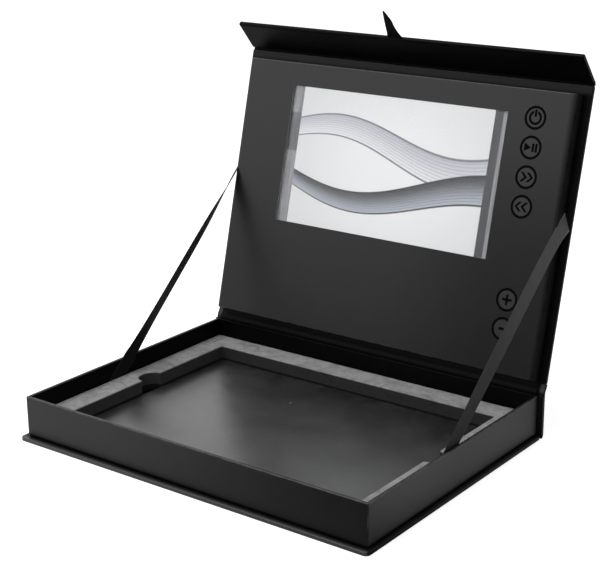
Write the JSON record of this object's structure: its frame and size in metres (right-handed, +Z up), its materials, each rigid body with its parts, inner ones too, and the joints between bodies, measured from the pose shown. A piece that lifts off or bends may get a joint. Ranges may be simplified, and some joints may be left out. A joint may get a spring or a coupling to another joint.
{
  "type": "video presentation box",
  "caption": "Hinged-lid presentation box with a foam-lined tray, a screen panel with push buttons inside the lid, and a magnetic front flap.",
  "frame": {"origin": "on the base board's underside, under the middle of the tray", "axes": "+X to the right along the lid's hinge, +Y to the back, +Z up; the lid stands open"},
  "size_m": [0.2432, 0.224, 0.2337],
  "materials": {
    "case_wrap": "soft-touch matt paper over board",
    "tray_wrap": "soft-touch matt paper over board",
    "floor_board": "black lined board",
    "lining_paper": "matt black lining paper",
    "grey_foam": "fine closed-cell foam",
    "floor_pad": "smooth satin black card",
    "ribbon": "woven satin ribbon",
    "magnet": "nickel plate",
    "panel_face": "soft-touch matt paper over board",
    "panel_rail": "black paper over board",
    "screen_pan": "satin",
    "light_guide": "clear acrylic",
    "screen_glass": "display glass",
    "screen_film": "clear protective film",
    "foam_tape": "white foam tape",
    "flex_cable": "amber polyimide",
    "circuit_board": "green solder mask",
    "chip": "moulded epoxy",
    "socket_metal": "tin plate",
    "battery_foil": "foil pouch",
    "wire": "soft insulation",
    "speaker_frame": "moulded",
    "speaker_paper": "pressed paper",
    "switch_body": "moulded",
    "button_cap": "matt moulded",
    "button_stem": "moulded"
  },
  "bodies": {
    "base": {"base_board": "case_wrap", "spine_board": "case_wrap", "base_fold_paper": "case_wrap", "tray_front_wall": "tray_wrap", "tray_back_wall": "tray_wrap", "tray_left_wall": "tray_wrap", "tray_right_wall": "tray_wrap", "tray_floor_board": "floor_board", "tray_magnets": "magnet", "foam_insert": "grey_foam", "cavity_floor_pad": "floor_pad", "lid_hinge_strip": "case_wrap", "lid_hinge_liner": "lining_paper", "ribbon_left": "ribbon", "ribbon_right": "ribbon"},
    "lid": {"lid_board": "case_wrap", "crease_outer_paper": "case_wrap", "crease_inner_paper": "lining_paper", "panel_front_board": "panel_face", "panel_left_rail": "panel_rail", "panel_right_rail": "panel_rail", "panel_top_rail": "panel_rail", "panel_bottom_rail": "panel_rail", "screen_pan_frame": "screen_pan", "light_guide": "light_guide", "screen_glass": "screen_glass", "screen_film": "screen_film", "screen_tapes": "foam_tape", "screen_flex_cable": "flex_cable", "main_board": "circuit_board", "board_tapes": "foam_tape", "processor_chip": "chip", "memory_chip": "chip", "charging_socket": "socket_metal", "battery_cell": "battery_foil", "battery_leads": "wire", "speaker_magnet": "magnet", "speaker_basket": "speaker_frame", "speaker_cone": "speaker_paper", "speaker_leads": "wire", "button_board": "circuit_board", "button_switches": "switch_body"},
    "flap": {"flap_board": "case_wrap", "flap_magnets": "magnet", "flap_liner": "lining_paper", "pull_tab": "ribbon"},
    "power_button": {"power_cap": "button_cap", "power_stem": "button_stem"},
    "play_pause_button": {"play_pause_cap": "button_cap", "play_pause_stem": "button_stem"},
    "next_button": {"next_cap": "button_cap", "next_stem": "button_stem"},
    "previous_button": {"previous_cap": "button_cap", "previous_stem": "button_stem"},
    "volume_up_button": {"volume_up_cap": "button_cap", "volume_up_stem": "button_stem"},
    "volume_down_button": {"volume_down_cap": "button_cap", "volume_down_stem": "button_stem"}
  },
  "joints": [
    {"name": "lid_hinge", "type": "hinge", "parent": "base", "child": "lid", "pos_m": [0, 0.08735, 0.0266], "axis": [1, 0, 0], "range_deg": [0, 104.4], "deforming": ["ribbon_left", "ribbon_right", "lid_hinge_strip", "lid_hinge_liner"]},
    {"name": "flap_hinge", "type": "hinge", "parent": "lid", "child": "flap", "pos_m": [0, 0.13147, 0.19843], "axis": [1, 0, 0], "range_deg": [-70, 43], "deforming": ["crease_outer_paper", "crease_inner_paper", "pull_tab"]},
    {"name": "power_press", "type": "slide", "parent": "lid", "child": "power_button", "axis": [0, 0.9686, -0.2487], "range_m": [0, 0.00035], "stiffness_N_per_m": 800, "springref_m": -0.0005},
    {"name": "play_pause_press", "type": "slide", "parent": "lid", "child": "play_pause_button", "axis": [0, 0.9686, -0.2487], "range_m": [0, 0.00035], "stiffness_N_per_m": 800, "springref_m": -0.0005},
    {"name": "next_press", "type": "slide", "parent": "lid", "child": "next_button", "axis": [0, 0.9686, -0.2487], "range_m": [0, 0.00035], "stiffness_N_per_m": 800, "springref_m": -0.0005},
    {"name": "previous_press", "type": "slide", "parent": "lid", "child": "previous_button", "axis": [0, 0.9686, -0.2487], "range_m": [0, 0.00035], "stiffness_N_per_m": 800, "springref_m": -0.0005},
    {"name": "volume_up_press", "type": "slide", "parent": "lid", "child": "volume_up_button", "axis": [0, 0.9686, -0.2487], "range_m": [0, 0.00035], "stiffness_N_per_m": 800, "springref_m": -0.0005},
    {"name": "volume_down_press", "type": "slide", "parent": "lid", "child": "volume_down_button", "axis": [0, 0.9686, -0.2487], "range_m": [0, 0.00035], "stiffness_N_per_m": 800, "springref_m": -0.0005}
  ]
}
